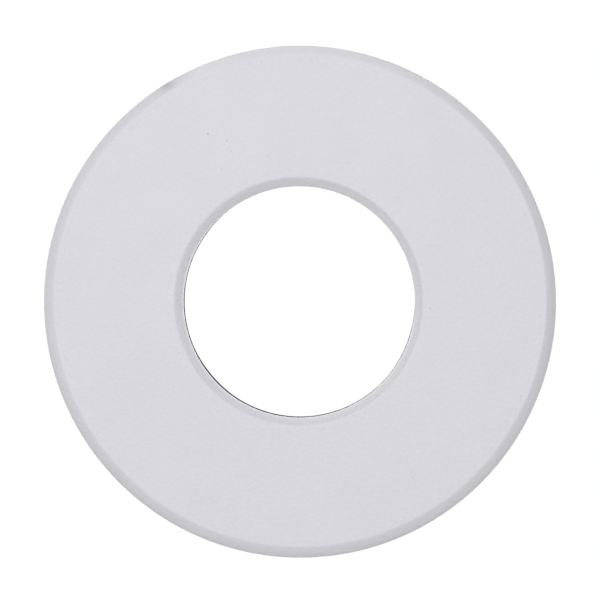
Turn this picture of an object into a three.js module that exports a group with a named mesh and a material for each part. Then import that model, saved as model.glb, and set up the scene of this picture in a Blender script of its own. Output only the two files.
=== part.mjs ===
// Trim ring for a ceiling fire sprinkler: a flat ring pressed from steel sheet, painted white, with a foam
// gasket in its hollow back. It is pushed up over the sprinkler and covers a ceiling hole cut too wide.
//
// Units are millimetres. +Z is the ring's axis and points down into the room, out of the visible face.
// z = 0 is the plane of the ceiling, where both rims of the ring rest.

import * as THREE from 'three';

// Driving dimensions of the ring.
const OUTER_DIAMETER = 127;
const HOLE_DIAMETER = 57.15;
const HEIGHT = 4;
const SHEET_THICKNESS = 0.8;

// The shape of its edges. Radii are on the visible side, and slopes are measured from the flat face.
// The creases are where the face ends; the edges are the crisp outer rim and the crisp lip of the hole.
const CREASE_RADIUS = 1;
const EDGE_RADIUS = 0.3;
const BEVEL_RADIUS = 10.6;
const BEVEL_SLOPE_AT_FACE = 28;
const BEVEL_SLOPE_AT_RIM = 42;
const CHAMFER_SLOPE = 34;
const CHAMFER_LENGTH = 2.1;
const UPRIGHT = 90;

// The gasket is a flat ring cut from sheet foam and glued to the back of the face.
const GASKET_OUTER_DIAMETER = 114.3;
const GASKET_INNER_DIAMETER = 63.5;
const GLUE_GAP = 0.1;

// Fineness of the faceted surfaces.
const SIDES = 72;
const DEGREES_PER_FACET = 12;

const outerRadius = OUTER_DIAMETER / 2;
const holeRadius = HOLE_DIAMETER / 2;

const radians = THREE.MathUtils.degToRad;

/** How far an arc runs along the face while its slope changes. */
function arcReach(radius, fromSlope, toSlope) {
  return radius * Math.abs(Math.sin(radians(toSlope)) - Math.sin(radians(fromSlope)));
}

/** How far an arc falls below the face while its slope changes. */
function arcDrop(radius, fromSlope, toSlope) {
  return radius * Math.abs(Math.cos(radians(toSlope)) - Math.cos(radians(fromSlope)));
}

/**
 * Walks along the visible side of a bent sheet, and returns the outlines of its front and its back.
 * The walk starts straight up from `start`. A move is { run: length } or { bend: radius, by: degrees }, and
 * every bend turns the walk towards the axis. A bend tighter than the sheet's thickness has a sharp corner at
 * the back.
 */
function walkBentSheet(start, moves) {
  const point = start.clone();
  let heading = radians(UPRIGHT);
  const front = [];
  const back = [];
  const behind = (place, depth, direction = heading) => (
    new THREE.Vector2(place.x - depth * Math.sin(direction), place.y + depth * Math.cos(direction))
  );
  const mark = () => {
    front.push(point.clone());
    back.push(behind(point, SHEET_THICKNESS));
  };

  mark();
  for (const move of moves) {
    if (move.run !== undefined) {
      point.x += move.run * Math.cos(heading);
      point.y += move.run * Math.sin(heading);
      mark();
      continue;
    }
    const centre = behind(point, move.bend);
    const turn = radians(move.by);
    const steps = Math.ceil(move.by / DEGREES_PER_FACET);
    const corner = behind(centre, (SHEET_THICKNESS - move.bend) / Math.cos(turn / 2), heading + turn / 2);
    const firstBack = back.length - 1;
    for (let step = 0; step < steps; step += 1) {
      heading += turn / steps;
      point.copy(behind(centre, -move.bend));
      mark();
    }
    if (move.bend < SHEET_THICKNESS) {
      back.splice(firstBack, steps + 1, corner);
    }
  }
  return { front, back };
}

/** The sheet's cross-section from the outer rim, over the face and down to the rim of the hole. */
function sheetProfile() {
  const skirtHeight = HEIGHT
    - arcDrop(EDGE_RADIUS, BEVEL_SLOPE_AT_RIM, UPRIGHT)
    - arcDrop(BEVEL_RADIUS, BEVEL_SLOPE_AT_FACE, BEVEL_SLOPE_AT_RIM)
    - arcDrop(CREASE_RADIUS, 0, BEVEL_SLOPE_AT_FACE);
  const collarHeight = HEIGHT
    - arcDrop(CREASE_RADIUS, 0, CHAMFER_SLOPE)
    - CHAMFER_LENGTH * Math.sin(radians(CHAMFER_SLOPE))
    - arcDrop(EDGE_RADIUS, CHAMFER_SLOPE, UPRIGHT);
  const bevelReach = arcReach(EDGE_RADIUS, BEVEL_SLOPE_AT_RIM, UPRIGHT)
    + arcReach(BEVEL_RADIUS, BEVEL_SLOPE_AT_FACE, BEVEL_SLOPE_AT_RIM)
    + arcReach(CREASE_RADIUS, 0, BEVEL_SLOPE_AT_FACE);
  const chamferReach = arcReach(CREASE_RADIUS, 0, CHAMFER_SLOPE)
    + CHAMFER_LENGTH * Math.cos(radians(CHAMFER_SLOPE))
    + arcReach(EDGE_RADIUS, CHAMFER_SLOPE, UPRIGHT);
  const faceWidth = outerRadius - holeRadius - bevelReach - chamferReach;

  const { front, back } = walkBentSheet(new THREE.Vector2(outerRadius, 0), [
    { run: skirtHeight },
    { bend: EDGE_RADIUS, by: UPRIGHT - BEVEL_SLOPE_AT_RIM },
    { bend: BEVEL_RADIUS, by: BEVEL_SLOPE_AT_RIM - BEVEL_SLOPE_AT_FACE },
    { bend: CREASE_RADIUS, by: BEVEL_SLOPE_AT_FACE },
    { run: faceWidth },
    { bend: CREASE_RADIUS, by: CHAMFER_SLOPE },
    { run: CHAMFER_LENGTH },
    { bend: EDGE_RADIUS, by: UPRIGHT - CHAMFER_SLOPE },
    { run: collarHeight },
  ]);
  return [...front, ...back.reverse()];
}

/** The gasket's cross-section: a rectangle between the ceiling and the back of the face. */
function gasketProfile() {
  const outer = GASKET_OUTER_DIAMETER / 2;
  const inner = GASKET_INNER_DIAMETER / 2;
  const top = HEIGHT - SHEET_THICKNESS - GLUE_GAP;
  return [
    new THREE.Vector2(outer, 0),
    new THREE.Vector2(outer, top),
    new THREE.Vector2(inner, top),
    new THREE.Vector2(inner, 0),
  ];
}

/** Turns a cross-section, given as (radius, height) points, once round the Z axis. */
function turned(name, profile, material) {
  const closedProfile = [...profile, profile[0]];
  const geometry = new THREE.LatheGeometry(closedProfile, SIDES);
  geometry.rotateX(Math.PI / 2);
  const mesh = new THREE.Mesh(geometry, material);
  mesh.name = name;
  return mesh;
}

const whitePaint = new THREE.MeshStandardMaterial({ color: 0xdad9de, roughness: 0.45, metalness: 0 });
const charcoalFoam = new THREE.MeshStandardMaterial({ color: 0x2b2b2d, roughness: 0.95, metalness: 0 });

const assembly = new THREE.Group();
assembly.name = 'sprinkler_trim_ring';
assembly.add(turned('trim_ring', sheetProfile(), whitePaint));
assembly.add(turned('foam_gasket', gasketProfile(), charcoalFoam));

export default assembly;
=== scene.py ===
"""A fire sprinkler trim ring, seen square on under one soft studio light.

The ring is a pressing of steel sheet, powder coated white, with a foam gasket in its hollow back. Lengths
in this script are millimetres until MM turns them into the scene's metres, and azimuths are degrees
anticlockwise from +X. +Z points out of the visible face.
"""
import math

import bpy
import numpy as np
from mathutils import Matrix, Vector


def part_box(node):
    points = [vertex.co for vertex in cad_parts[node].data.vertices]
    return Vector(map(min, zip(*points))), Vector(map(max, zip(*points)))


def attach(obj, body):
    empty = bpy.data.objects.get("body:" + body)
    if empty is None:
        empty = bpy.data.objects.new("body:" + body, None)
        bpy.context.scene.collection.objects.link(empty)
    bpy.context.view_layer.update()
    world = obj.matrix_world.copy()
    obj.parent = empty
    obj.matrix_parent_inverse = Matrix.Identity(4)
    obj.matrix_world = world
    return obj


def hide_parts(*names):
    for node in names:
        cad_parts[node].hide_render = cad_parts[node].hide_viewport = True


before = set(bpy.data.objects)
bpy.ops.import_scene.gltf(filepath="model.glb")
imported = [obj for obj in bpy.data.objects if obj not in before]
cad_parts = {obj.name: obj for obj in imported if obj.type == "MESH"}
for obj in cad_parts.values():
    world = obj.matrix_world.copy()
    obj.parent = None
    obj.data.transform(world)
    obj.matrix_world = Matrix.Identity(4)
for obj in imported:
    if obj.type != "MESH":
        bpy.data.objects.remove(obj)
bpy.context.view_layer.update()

MM = 0.001


# ---------------------------------------------------------------- sizes from the frame

def radii_of(node):
    """The smallest and largest radius of a CAD node's vertices, in millimetres."""
    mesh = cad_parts[node].data
    points = np.empty(len(mesh.vertices) * 3)
    mesh.vertices.foreach_get("co", points)
    radii = np.hypot(points[0::3], points[1::3]) / MM
    return radii.min(), radii.max()


HOLE_RADIUS, OUTER_RADIUS = radii_of("trim_ring")
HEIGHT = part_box("trim_ring")[1].z / MM
GASKET_INNER, GASKET_OUTER = radii_of("foam_gasket")
GASKET_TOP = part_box("foam_gasket")[1].z / MM

# The sheet's cross-section. Radii are on the visible side, and slopes are measured from the flat face.
# The creases are where the face ends. The edges are the outer rim and the lip of the hole.
SHEET = 0.8
CREASE_RADIUS = 1.0
EDGE_RADIUS = 0.15
BEVEL_RADIUS = 10.8
BEVEL_SLOPE_AT_FACE = 28
BEVEL_SLOPE_AT_RIM = 42
CHAMFER_SLOPE = 35.5
CHAMFER_LENGTH = 2.40
LIP_WIDTH = 0.2
UPRIGHT = 90
FOOT_ROUNDING = 0.12
SEGMENTS = 576

# How the parts of the cross-section are finished. The last, on the collar's wall, is painted shade.
PAINTED = 1.0
THINLY_PAINTED = 0.4
PAINTED_SHADE = 0.0


# ---------------------------------------------------------------- mesh building

def arc_reach(radius, from_slope, to_slope):
    """How far an arc runs along the face while its slope changes."""
    return radius * abs(math.sin(math.radians(to_slope)) - math.sin(math.radians(from_slope)))


def arc_drop(radius, from_slope, to_slope):
    """How far an arc falls below the face while its slope changes."""
    return radius * abs(math.cos(math.radians(to_slope)) - math.cos(math.radians(from_slope)))


def smooth_step(low, high, value):
    """0 below low, 1 above high, and a smooth rise between them."""
    share = np.clip((value - low) / (high - low), 0, 1)
    return share * share * (3 - 2 * share)


def walk_sheet(start, moves):
    """Walks along the visible side of a bent sheet and returns the outlines of its front and its back.

    The walk starts straight up. A move is ("run", length, steps) or ("bend", radius, degrees, steps), and
    every bend turns it towards the axis. A bend tighter than the sheet's thickness is a sharp corner at the
    back, and swallows what the back would have had past that corner.
    """
    heading = math.radians(UPRIGHT)

    def behind(place, depth, facing):
        return place + depth * np.array([-math.sin(facing), math.cos(facing)])

    point = np.array(start, float)
    front = [point]
    back = [behind(point, SHEET, heading)]
    for kind, size, *rest in moves:
        if kind == "run":
            steps = rest[0]
            step = np.array([math.cos(heading), math.sin(heading)]) * size / steps
            for _ in range(steps):
                point = point + step
                front.append(point)
                back.append(behind(point, SHEET, heading))
            continue
        turn, steps = math.radians(rest[0]), rest[1]
        centre = behind(point, size, heading)
        tight = size < SHEET
        if tight:
            corner = behind(centre, (SHEET - size) / math.cos(turn / 2), heading + turn / 2)
            ahead = np.array([math.cos(heading), math.sin(heading)])
            back = [place for place in back if (corner - place) @ ahead > 0]
            back.append(corner)
        for _ in range(steps):
            heading += turn / steps
            point = behind(centre, -size, heading)
            front.append(point)
            if not tight:
                back.append(behind(point, SHEET, heading))
    return np.array(front), np.array(back)


def rounded(outline, radius, steps=4, sharpest=40):
    """Rounds the corners of a closed outline that turn by more than `sharpest` degrees.

    The first two columns are the outline's points. Any further columns are carried along.
    """
    result = []
    previous = np.roll(outline, 1, axis=0)
    following = np.roll(outline, -1, axis=0)
    for before, corner, after in zip(previous, outline, following):
        arriving = corner[:2] - before[:2]
        leaving = after[:2] - corner[:2]
        arriving = arriving / np.linalg.norm(arriving)
        leaving = leaving / np.linalg.norm(leaving)
        turn = math.acos(np.clip(arriving @ leaving, -1, 1))
        if turn < math.radians(sharpest):
            result.append(corner)
            continue
        inset = radius * math.tan(turn / 2)
        first = corner[:2] - arriving * inset
        inward = (leaving - arriving) / np.linalg.norm(leaving - arriving)
        centre = corner[:2] + inward * radius / math.cos(turn / 2)
        spoke = first - centre
        side = math.copysign(1, arriving[0] * leaving[1] - arriving[1] * leaving[0])
        for step in range(steps + 1):
            angle = side * turn * step / steps
            cosine, sine = math.cos(angle), math.sin(angle)
            turned = np.array([spoke[0] * cosine - spoke[1] * sine, spoke[0] * sine + spoke[1] * cosine])
            result.append(np.concatenate([centre + turned, corner[2:]]))
    return np.array(result)


def lathe(name, outline, segments, shape):
    """A closed ring mesh: an outline in the (radius, height) plane turned about Z.

    shape gets arrays of radius, height and angle, one row for each outline point and one column for each
    segment, and returns x, y and z. It is where the ring stops being perfectly round.
    """
    angle = np.linspace(0, 2 * math.pi, segments, endpoint=False)
    radius, angle = np.meshgrid(outline[:, 0], angle, indexing="ij")
    height = np.repeat(outline[:, 1:2], segments, axis=1)
    vertices = np.stack(shape(radius, height, angle), axis=-1).reshape(-1, 3) * MM

    rows, columns = np.meshgrid(np.arange(len(outline)), np.arange(segments), indexing="ij")
    next_rows = (rows + 1) % len(outline)
    next_columns = (columns + 1) % segments
    corners = [rows * segments + columns, rows * segments + next_columns,
               next_rows * segments + next_columns, next_rows * segments + columns]
    faces = np.stack(corners, axis=-1).reshape(-1, 4)

    mesh = bpy.data.meshes.new(name)
    mesh.from_pydata(vertices.tolist(), [], faces.tolist())
    mesh.polygons.foreach_set("use_smooth", [True] * len(faces))
    mesh.update()
    piece = bpy.data.objects.new(name, mesh)
    bpy.context.scene.collection.objects.link(piece)
    return piece


def point_attribute(piece, name, values):
    """Stores one number for each vertex, for the material to read."""
    layer = piece.data.attributes.new(name, "FLOAT", "POINT")
    layer.data.foreach_set("value", np.asarray(values, np.float32).ravel())


# ---------------------------------------------------------------- the ring

SKIRT = (HEIGHT - arc_drop(EDGE_RADIUS, BEVEL_SLOPE_AT_RIM, UPRIGHT)
         - arc_drop(BEVEL_RADIUS, BEVEL_SLOPE_AT_FACE, BEVEL_SLOPE_AT_RIM)
         - arc_drop(CREASE_RADIUS, 0, BEVEL_SLOPE_AT_FACE))
COLLAR = (HEIGHT - arc_drop(CREASE_RADIUS, 0, CHAMFER_SLOPE)
          - CHAMFER_LENGTH * math.sin(math.radians(CHAMFER_SLOPE))
          - arc_drop(EDGE_RADIUS, CHAMFER_SLOPE, UPRIGHT))
BEVEL_WIDTH = (arc_reach(EDGE_RADIUS, BEVEL_SLOPE_AT_RIM, UPRIGHT)
               + arc_reach(BEVEL_RADIUS, BEVEL_SLOPE_AT_FACE, BEVEL_SLOPE_AT_RIM)
               + arc_reach(CREASE_RADIUS, 0, BEVEL_SLOPE_AT_FACE))
CHAMFER_WIDTH = (arc_reach(CREASE_RADIUS, 0, CHAMFER_SLOPE)
                 + CHAMFER_LENGTH * math.cos(math.radians(CHAMFER_SLOPE))
                 + arc_reach(EDGE_RADIUS, CHAMFER_SLOPE, UPRIGHT))
FACE_WIDTH = OUTER_RADIUS - HOLE_RADIUS - BEVEL_WIDTH - CHAMFER_WIDTH
BEVEL_START = OUTER_RADIUS - BEVEL_WIDTH
CHAMFER_START = HOLE_RADIUS + CHAMFER_WIDTH
LIP_REACH = (LIP_WIDTH * math.cos(math.radians(CHAMFER_SLOPE))
             + arc_reach(EDGE_RADIUS, CHAMFER_SLOPE, UPRIGHT))

FRONT, BACK = walk_sheet((OUTER_RADIUS, 0), [
    ("run", SKIRT, 5),
    ("bend", EDGE_RADIUS, UPRIGHT - BEVEL_SLOPE_AT_RIM, 6),
    ("bend", BEVEL_RADIUS, BEVEL_SLOPE_AT_RIM - BEVEL_SLOPE_AT_FACE, 7),
    ("bend", CREASE_RADIUS, BEVEL_SLOPE_AT_FACE, 6),
    ("run", FACE_WIDTH, 26),
    ("bend", CREASE_RADIUS, CHAMFER_SLOPE, 6),
    ("run", CHAMFER_LENGTH - LIP_WIDTH, 4),
    ("run", LIP_WIDTH, 2),
    ("bend", EDGE_RADIUS, UPRIGHT - CHAMFER_SLOPE, 6),
    ("run", COLLAR, 5),
])


def sheet_outline():
    """The sheet's closed cross-section: one row of radius, height and finish for each point."""
    # The collar's wall below the lip is marked for painted shade.
    collar_shade_starts = HOLE_RADIUS + 0.006
    on_collar = FRONT[:, 0] < collar_shade_starts
    visible = np.column_stack([FRONT, np.where(on_collar, PAINTED_SHADE, PAINTED)])
    hidden = np.column_stack([BACK, np.full(len(BACK), THINLY_PAINTED)])
    return rounded(np.concatenate([visible, hidden[::-1]]), FOOT_ROUNDING)


# The forming tools sat a little off the ring's axis. Each form is (radius, x offset, y offset).
FORMING_OFFSETS = [
    (CHAMFER_START - CHAMFER_WIDTH / 2, -0.12, 0.03),
    (CHAMFER_START, -0.35, 0.21),
    (BEVEL_START, 0.04, 0.37),
    (OUTER_RADIUS - BEVEL_WIDTH / 4, 0.0, 0.0),
]

# The hole came out a little large in radius. The collar leans: at one azimuth its foot stands this far
# inside its lip. Four shallow bows add to that, each (azimuth, half-angle, depth).
HOLE_GROWTH = 0.10
COLLAR_LEAN = 0.14
COLLAR_LEAN_AZIMUTH = 240
COLLAR_BOWS = [(144, 20, 0.14), (178, 15, 0.06), (220, 12, 0.11), (345, 20, 0.175)]

# The punch left the lip flat from the hole's upper left, round its lower side, to its right. The paint
# there carries a painted highlight. A stretch is four azimuths: where it begins, is full, starts to fade
# and ends.
FLAT_LIP = (120, 155, 346, 360)

# The bevel was rolled too flat along two stretches, each with the share of its drop that is missing. The
# first stretch ends at a dent.
FLAT_BEVELS = [
    ((30, 105, 114, 121), 0.50),
    ((225, 270, 330, 352), 0.14),
]
DENT_AZIMUTH = 121.5
DENT_DEPTH = 0.50
DENT_HALF_LENGTH = 1.8


def stretch(azimuth, limits):
    """1 along a stretch of the rim or the lip and 0 off it, with smooth ends."""
    begins, full, fades, ends = limits
    return smooth_step(begins, full, azimuth) * (1 - smooth_step(fades, ends, azimuth))


def dent_share(radius, height, azimuth):
    """How far each point is pushed in by the dent, from 0 to 1."""
    margin = 0.4
    distance = np.radians(azimuth - DENT_AZIMUTH) * OUTER_RADIUS
    along = np.exp(-(distance / DENT_HALF_LENGTH) ** 2)
    across = smooth_step(BEVEL_START + margin, OUTER_RADIUS, radius)
    return along * across * smooth_step(0, SKIRT, height)


def bevel_lift(radius, height, azimuth):
    """How far the flatter stretches of bevel stand above the true one, fading out down the skirt."""
    on_bevel = (FRONT[:, 1] >= SKIRT) & (FRONT[:, 0] > (CHAMFER_START + BEVEL_START) / 2)
    bevel = FRONT[on_bevel][::-1]
    drop = HEIGHT - np.interp(radius, bevel[:, 0], bevel[:, 1])
    missing = sum(share * stretch(azimuth, limits) for limits, share in FLAT_BEVELS)
    full_above = SKIRT - SHEET / 3
    return missing * drop * np.clip(height / full_above, 0, 1)


def lip_share(radius, height, azimuth):
    """0 up to the edge of the lip and 1 at the hole, where the lip is flat."""
    into_lip = np.clip((HOLE_RADIUS + LIP_REACH - radius) / LIP_REACH, 0, 1)
    return into_lip * stretch(azimuth, FLAT_LIP) * np.clip(height / COLLAR, 0, 1)


def bow_share(azimuth, middle, half_angle):
    """1 at the middle of a bow and nearly 0 past twice its half-angle."""
    apart = (azimuth - middle + 180) % 360 - 180
    return np.exp(-(apart / half_angle) ** 2)


def collar_shift(radius, height, azimuth):
    """How far the collar stands inside a true one."""
    lean = COLLAR_LEAN * np.cos(np.radians(azimuth - COLLAR_LEAN_AZIMUTH))
    bows = sum(depth * bow_share(azimuth, middle, width) for middle, width, depth in COLLAR_BOWS)
    on_collar = smooth_step(CHAMFER_START, HOLE_RADIUS + SHEET, radius)
    down_collar = 1 - np.clip(height / COLLAR, 0, 1)
    return on_collar * ((lean + bows) * down_collar - HOLE_GROWTH)


def pressed(radius, height, angle):
    """The ring as it came out of the press, with its small faults."""
    azimuth = np.degrees(angle)
    lip_rise = LIP_REACH * math.tan(math.radians(CHAMFER_SLOPE))
    z = height + bevel_lift(radius, height, azimuth) - DENT_DEPTH * dent_share(radius, height, azimuth)
    z = z + lip_rise * lip_share(radius, height, azimuth)
    radii, across, up = np.array(FORMING_OFFSETS).T
    moved_in = radius - collar_shift(radius, height, azimuth)
    x = moved_in * np.cos(angle) + np.interp(radius, radii, across)
    y = moved_in * np.sin(angle) + np.interp(radius, radii, up)
    return x, y, z


def make_ring():
    """The pressed ring, with its collar's painted shade, its dent and its lip's painted highlight marked
    for the paint.
    """
    outline = sheet_outline()
    piece = lathe("trim_ring_shell", outline, SEGMENTS, pressed)
    azimuth = np.linspace(0, 360, SEGMENTS, endpoint=False)
    radius, azimuth = np.meshgrid(outline[:, 0], azimuth, indexing="ij")
    height = np.repeat(outline[:, 1:2], SEGMENTS, axis=1)
    point_attribute(piece, "coat", np.repeat(outline[:, 2:3], SEGMENTS, axis=1))
    # Darker paint in the dent, most where it is pushed in furthest.
    point_attribute(piece, "darker_in_dent", dent_share(radius, height, azimuth))
    # The flat lip carries a painted highlight.
    point_attribute(piece, "lip", lip_share(radius, height, azimuth))
    piece.data.materials.append(powder_coat())
    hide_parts("trim_ring")
    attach(piece, "root")


# ---------------------------------------------------------------- the gasket

def make_gasket():
    """A die-cut foam ring, squeezed, so that its cut edges bulge."""
    bulge = 0.3
    skin_rounding = 0.25
    steps_across = 30
    steps_up = 8
    segments = 360
    bulge_sharpness = 9
    outer = GASKET_OUTER - bulge
    inner = GASKET_INNER + bulge
    across = np.linspace(outer, inner, steps_across + 1)
    up = np.linspace(0, GASKET_TOP, steps_up + 1)
    outline = np.concatenate([
        np.column_stack([np.full(steps_up, outer), up[:-1]]),
        np.column_stack([across[:-1], np.full(steps_across, GASKET_TOP)]),
        np.column_stack([np.full(steps_up, inner), up[:0:-1]]),
        np.column_stack([across[:0:-1], np.zeros(steps_across)]),
    ])
    middle = (GASKET_OUTER + GASKET_INNER) / 2
    half_width = (outer - inner) / 2

    def squeezed(radius, height, angle):
        swell = bulge * np.sin(math.pi * height / GASKET_TOP)
        share = np.clip((radius - middle) / half_width, -1, 1)
        radius = radius + swell * share ** bulge_sharpness
        return radius * np.cos(angle), radius * np.sin(angle), height

    piece = lathe("foam_gasket_ring", rounded(outline, skin_rounding), segments, squeezed)
    piece.data.materials.append(closed_cell_foam())
    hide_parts("foam_gasket")
    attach(piece, "root")


# ---------------------------------------------------------------- materials

class Nodes:
    """Builds the node tree of a material, or of the world, with short calls."""

    def __init__(self, owner):
        owner.use_nodes = True
        self.tree = owner.node_tree
        self.tree.nodes.clear()

    def add(self, kind, inputs=None, **settings):
        """A node. An input is given as a value, or as another node's output to link to."""
        node = self.tree.nodes.new(kind)
        for key, value in settings.items():
            setattr(node, key, value)
        for key, value in (inputs or {}).items():
            if isinstance(value, bpy.types.NodeSocket):
                self.tree.links.new(value, node.inputs[key])
            else:
                node.inputs[key].default_value = value
        return node

    def attribute(self, name):
        """A number that point_attribute stored."""
        return self.add("ShaderNodeAttribute", attribute_name=name).outputs["Fac"]

    def maths(self, operation, *values):
        return self.add("ShaderNodeMath", dict(enumerate(values)), operation=operation).outputs[0]

    def distance(self, first, second):
        """How far apart two places are, in metres."""
        node = self.add("ShaderNodeVectorMath", {0: first, 1: second}, operation="DISTANCE")
        return node.outputs["Value"]

    def spread(self, value, low, high, to_low=0.0, to_high=1.0):
        """The value moved from the range low to high into another range, and held inside it."""
        inputs = {"Value": value, "From Min": low, "From Max": high, "To Min": to_low, "To Max": to_high}
        return self.add("ShaderNodeMapRange", inputs).outputs["Result"]

    def mix(self, share, first, second):
        """The first colour where share is 0 and the second where it is 1."""
        node = self.add("ShaderNodeMix", data_type="RGBA")
        factor = next(s for s in node.inputs if s.name == "Factor" and s.type == "VALUE")
        colours = [s for s in node.inputs if s.type == "RGBA"]
        for socket, value in zip([factor, *colours], (share, first, second)):
            if isinstance(value, bpy.types.NodeSocket):
                self.tree.links.new(value, socket)
            else:
                socket.default_value = value
        return next(s for s in node.outputs if s.type == "RGBA")

    def noise(self, place, size, detail):
        """Noise with features of about this size in millimetres, from 0 to 1 and mostly near the middle."""
        inputs = {"Vector": place, "Scale": 1 / (size * MM), "Detail": detail}
        return self.add("ShaderNodeTexNoise", inputs).outputs["Fac"]


def colour(red, green, blue):
    """An opaque colour, as nodes take it."""
    return (red, green, blue, 1)


# Pinholes in the coat of the face: distance from the axis, azimuth and radius.
PINHOLES = [
    (47.5, 118.6, 0.14),
    (43.9, 114.2, 0.10),
    (41.0, 114.3, 0.055),
    (37.3, 102.2, 0.09),
    (38.2, 120.3, 0.07),
    (32.3, -2.6, 0.09),
    (32.2, 265.3, 0.06),
    (51.6, -57.0, 0.08),
]


def pinholes(nodes, place):
    """A mask that is 1 at the middle of each pinhole."""
    full_within, gone_beyond = 0.5, 1.2
    mask = 0.0
    for from_axis, azimuth, size in PINHOLES:
        x = from_axis * math.cos(math.radians(azimuth))
        y = from_axis * math.sin(math.radians(azimuth))
        apart = nodes.distance(place, (x * MM, y * MM, HEIGHT * MM))
        hole = nodes.spread(apart, full_within * size * MM, gone_beyond * size * MM, 1.0, 0.0)
        mask = nodes.maths("MAXIMUM", mask, hole)
    return mask


def powder_coat():
    """White powder coat, fine orange peel, over steel; thin on the back, and painted shade on the collar's
    wall.
    """
    peel_size, patch_size, overspray_size = 0.75, 14.0, 1.6
    patch_share, peel_share = 0.35, 0.65
    low, high = 0.3, 0.7
    peel_depth = 0.125
    pinhole_depth_in_peels = 1.5
    pinhole_darkness = 0.75
    dent_darkness = 0.32
    paint_gloss = 0.5
    material = bpy.data.materials.new("white_powder_coat")
    nodes = Nodes(material)
    place = nodes.add("ShaderNodeTexCoord").outputs["Object"]
    coat = nodes.attribute("coat")
    outside_collar_shade = nodes.spread(coat, PAINTED_SHADE, THINLY_PAINTED)
    painted_fully = nodes.spread(coat, THINLY_PAINTED, PAINTED)
    peel = nodes.noise(place, peel_size, detail=1.5)
    patches = nodes.noise(place, patch_size, detail=3.0)
    overspray = nodes.noise(place, overspray_size, detail=4.0)
    holes = pinholes(nodes, place)

    patch_tone = nodes.spread(patches, low, high, 0.0, patch_share)
    peel_tone = nodes.spread(peel, low, high, 0.0, peel_share)
    tone = nodes.maths("ADD", patch_tone, peel_tone)
    white = nodes.mix(tone, colour(0.735, 0.726, 0.767), colour(0.785, 0.776, 0.819))
    # Painted highlight: the paint on the flat lip is made much whiter, as a bright line along the hole's
    # edge.
    lip_highlighted = nodes.mix(nodes.attribute("lip"), white, colour(0.95, 0.94, 0.97))
    # Darker paint in the dent, most where it is pushed in furthest.
    dent_darkening = nodes.maths("MULTIPLY", nodes.attribute("darker_in_dent"), dent_darkness)
    dent_darkened = nodes.mix(dent_darkening, lip_highlighted, colour(0.25, 0.25, 0.26))
    pits = nodes.maths("MULTIPLY", holes, pinhole_darkness)
    pitted = nodes.mix(pits, dent_darkened, colour(0.16, 0.16, 0.17))
    # Painted shade: a near-black colour for the collar's wall, which also loses its gloss and peel below.
    # The back's thin coat is a real finish.
    steel = nodes.mix(overspray, colour(0.040, 0.040, 0.066), colour(0.068, 0.068, 0.100))
    thin_tone = nodes.spread(overspray, 0.35, 0.65)
    thin = nodes.mix(thin_tone, colour(0.36, 0.36, 0.38), colour(0.56, 0.555, 0.58))
    unseen = nodes.mix(outside_collar_shade, steel, thin)

    relief = nodes.maths("SUBTRACT", peel, nodes.maths("MULTIPLY", holes, pinhole_depth_in_peels))
    relief = nodes.maths("MULTIPLY", relief, outside_collar_shade)
    bump = nodes.add("ShaderNodeBump", {"Height": relief, "Strength": 1.0, "Distance": peel_depth * MM})
    shader = nodes.add("ShaderNodeBsdfPrincipled", {
        "Base Color": nodes.mix(painted_fully, unseen, pitted),
        "Roughness": nodes.spread(peel, low, high, 0.66, 0.72),
        "IOR": 1.5,
        "Specular IOR Level": nodes.maths("MULTIPLY", outside_collar_shade, paint_gloss),
        "Normal": bump.outputs["Normal"],
    })
    nodes.add("ShaderNodeOutputMaterial", {"Surface": shader.outputs[0]})
    return material


def closed_cell_foam():
    """Charcoal foam: fine cells, dull."""
    cell_size = 0.45
    cell_depth = 0.1
    mottling_size = 3.0
    material = bpy.data.materials.new("charcoal_foam")
    nodes = Nodes(material)
    place = nodes.add("ShaderNodeTexCoord").outputs["Object"]
    cells = nodes.add("ShaderNodeTexVoronoi", {"Vector": place, "Scale": 1 / (cell_size * MM)})
    mottling = nodes.noise(place, mottling_size, detail=3.0)
    relief = {"Height": cells.outputs["Distance"], "Strength": 0.6, "Distance": cell_depth * MM}
    bump = nodes.add("ShaderNodeBump", relief)
    shader = nodes.add("ShaderNodeBsdfPrincipled", {
        "Base Color": nodes.mix(mottling, colour(0.018, 0.018, 0.020), colour(0.040, 0.040, 0.043)),
        "Roughness": 0.85,
        "Normal": bump.outputs["Normal"],
    })
    nodes.add("ShaderNodeOutputMaterial", {"Surface": shader.outputs[0]})
    return material


# ---------------------------------------------------------------- stage

# Lengths on the stage are metres, except where MM turns them from millimetres.
# WHITE is just bright enough for the background to come out pure white.
WHITE = 1.02


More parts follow.
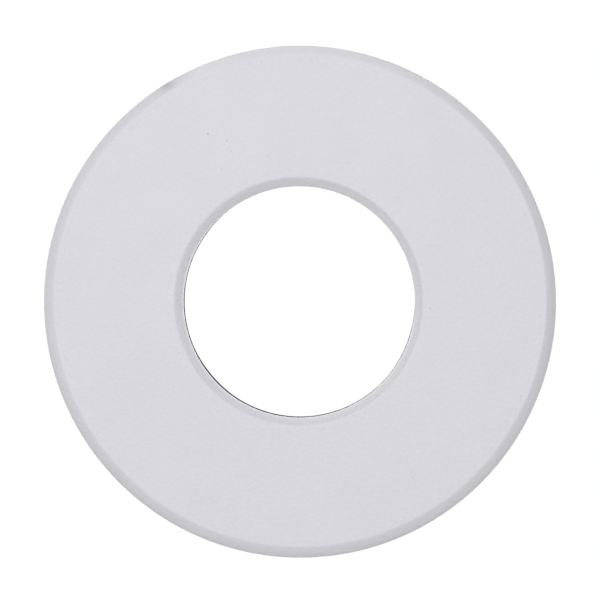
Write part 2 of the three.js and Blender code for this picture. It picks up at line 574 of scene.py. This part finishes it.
def make_floor():
    """A pale table that only the camera sees, so that it throws no light up into the ring's edges.

    Seen from above, and far from the ring, it is the white of the background. Near the ring, seen from the
    side, it takes a soft shadow. From below it is clear.
    """
    size = 3.0
    below_ring = 0.02
    fade_from, fade_to = 0.10, 0.40
    facing_away, facing_camera = 0.4, 0.1
    own_glow = 0.3
    mesh = bpy.data.meshes.new("floor")
    corners = [(-size, -size, 0), (size, -size, 0), (size, size, 0), (-size, size, 0)]
    mesh.from_pydata(corners, [], [(0, 1, 2, 3)])
    floor = bpy.data.objects.new("floor", mesh)
    bpy.context.scene.collection.objects.link(floor)
    floor.location.z = -below_ring * MM
    floor.visible_diffuse = False
    floor.visible_glossy = False
    floor.visible_shadow = False

    material = bpy.data.materials.new("pale_floor")
    nodes = Nodes(material)
    geometry = nodes.add("ShaderNodeNewGeometry")
    from_ring = nodes.distance(geometry.outputs["Position"], (0, 0, 0))
    far = nodes.spread(from_ring, fade_from, fade_to)
    facing = nodes.add("ShaderNodeLayerWeight").outputs["Facing"]
    from_above = nodes.spread(facing, facing_away, facing_camera)
    diffuse = nodes.add("ShaderNodeBsdfDiffuse", {"Color": colour(0.9, 0.9, 0.9)}).outputs[0]
    glow = nodes.add("ShaderNodeEmission", {"Strength": own_glow}).outputs[0]
    shaded = nodes.add("ShaderNodeAddShader", {0: diffuse, 1: glow}).outputs[0]
    white = nodes.add("ShaderNodeEmission", {"Strength": WHITE}).outputs[0]
    whiteness = nodes.maths("MAXIMUM", from_above, far)
    lit = nodes.add("ShaderNodeMixShader", {0: whiteness, 1: shaded, 2: white}).outputs[0]
    clear = nodes.add("ShaderNodeBsdfTransparent").outputs[0]
    seen_from_below = geometry.outputs["Backfacing"]
    one_sided = nodes.add("ShaderNodeMixShader", {0: seen_from_below, 1: lit, 2: clear}).outputs[0]
    nodes.add("ShaderNodeOutputMaterial", {"Surface": one_sided})
    mesh.materials.append(material)


def make_world():
    """White to the camera. To the ring: a dim ceiling, a pale band of wall, and light thrown up from below.

    The light from below comes in so steeply that it hardly reaches the bevel. It does reach the skirt, the
    collar and the back.
    """
    wall_light = 0.5
    ceiling_light = 0.05
    wall_top = 0.35
    bounce_light = 1.6
    bounce_from, bounce_full = 0.3, 0.5
    world = bpy.data.worlds.new("studio")
    bpy.context.scene.world = world
    nodes = Nodes(world)
    looking = nodes.add("ShaderNodeTexCoord").outputs["Generated"]
    height = nodes.add("ShaderNodeSeparateXYZ", {0: looking}).outputs["Z"]
    from_level = nodes.maths("ABSOLUTE", height)
    from_side = nodes.spread(from_level, 0.0, wall_top, wall_light, ceiling_light)
    from_below = nodes.spread(height, -bounce_from, -bounce_full, 0.0, bounce_light)
    strength = nodes.maths("MAXIMUM", from_side, from_below)
    fill = nodes.add("ShaderNodeBackground", {"Color": colour(1, 1, 1), "Strength": strength}).outputs[0]
    white = nodes.add("ShaderNodeBackground", {"Color": colour(1, 1, 1), "Strength": WHITE}).outputs[0]
    seen = nodes.add("ShaderNodeLightPath").outputs["Is Camera Ray"]
    mixed = nodes.add("ShaderNodeMixShader", {0: seen, 1: fill, 2: white}).outputs[0]
    nodes.add("ShaderNodeOutputWorld", {"Surface": mixed})


def direction(azimuth, tilt):
    """A unit vector tilted from +Z towards an azimuth, both in degrees."""
    around, down = math.radians(azimuth), math.radians(tilt)
    return Vector((math.cos(around) * math.sin(down), math.sin(around) * math.sin(down), math.cos(down)))


def make_softbox():
    """One soft lamp above the face, a little towards the top left of the picture."""
    distance = 1.2
    lamp = bpy.data.lights.new("softbox", "AREA")
    lamp.shape = "DISK"
    lamp.size = 0.30
    lamp.energy = 12.1
    box = bpy.data.objects.new("softbox", lamp)
    bpy.context.scene.collection.objects.link(box)
    box.location = direction(118, 9.5) * distance
    box.rotation_euler = (-box.location).to_track_quat("-Z", "Y").to_euler()
    box.visible_camera = False


def make_camera():
    """Nearly square on to the face, from a little to its upper right.

    So the collar's wall shows at the hole's lower left.
    """
    distance = 2.5
    picture_width = 148.8 * MM
    data = bpy.data.cameras.new("camera")
    data.sensor_width = 36
    data.lens = data.sensor_width * distance / picture_width
    camera = bpy.data.objects.new("camera", data)
    bpy.context.scene.collection.objects.link(camera)
    back = direction(60, 2.7)
    across = Vector((0, 1, 0)).cross(back).normalized()
    up = back.cross(across)
    camera.rotation_euler = Matrix((across, up, back)).transposed().to_euler()
    target = Vector((0.03, 0.495, SKIRT)) * MM
    camera.location = target + back * distance
    bpy.context.scene.camera = camera


bpy.context.scene.view_settings.view_transform = "Standard"
make_ring()
make_gasket()
make_floor()
make_world()
make_softbox()
make_camera()
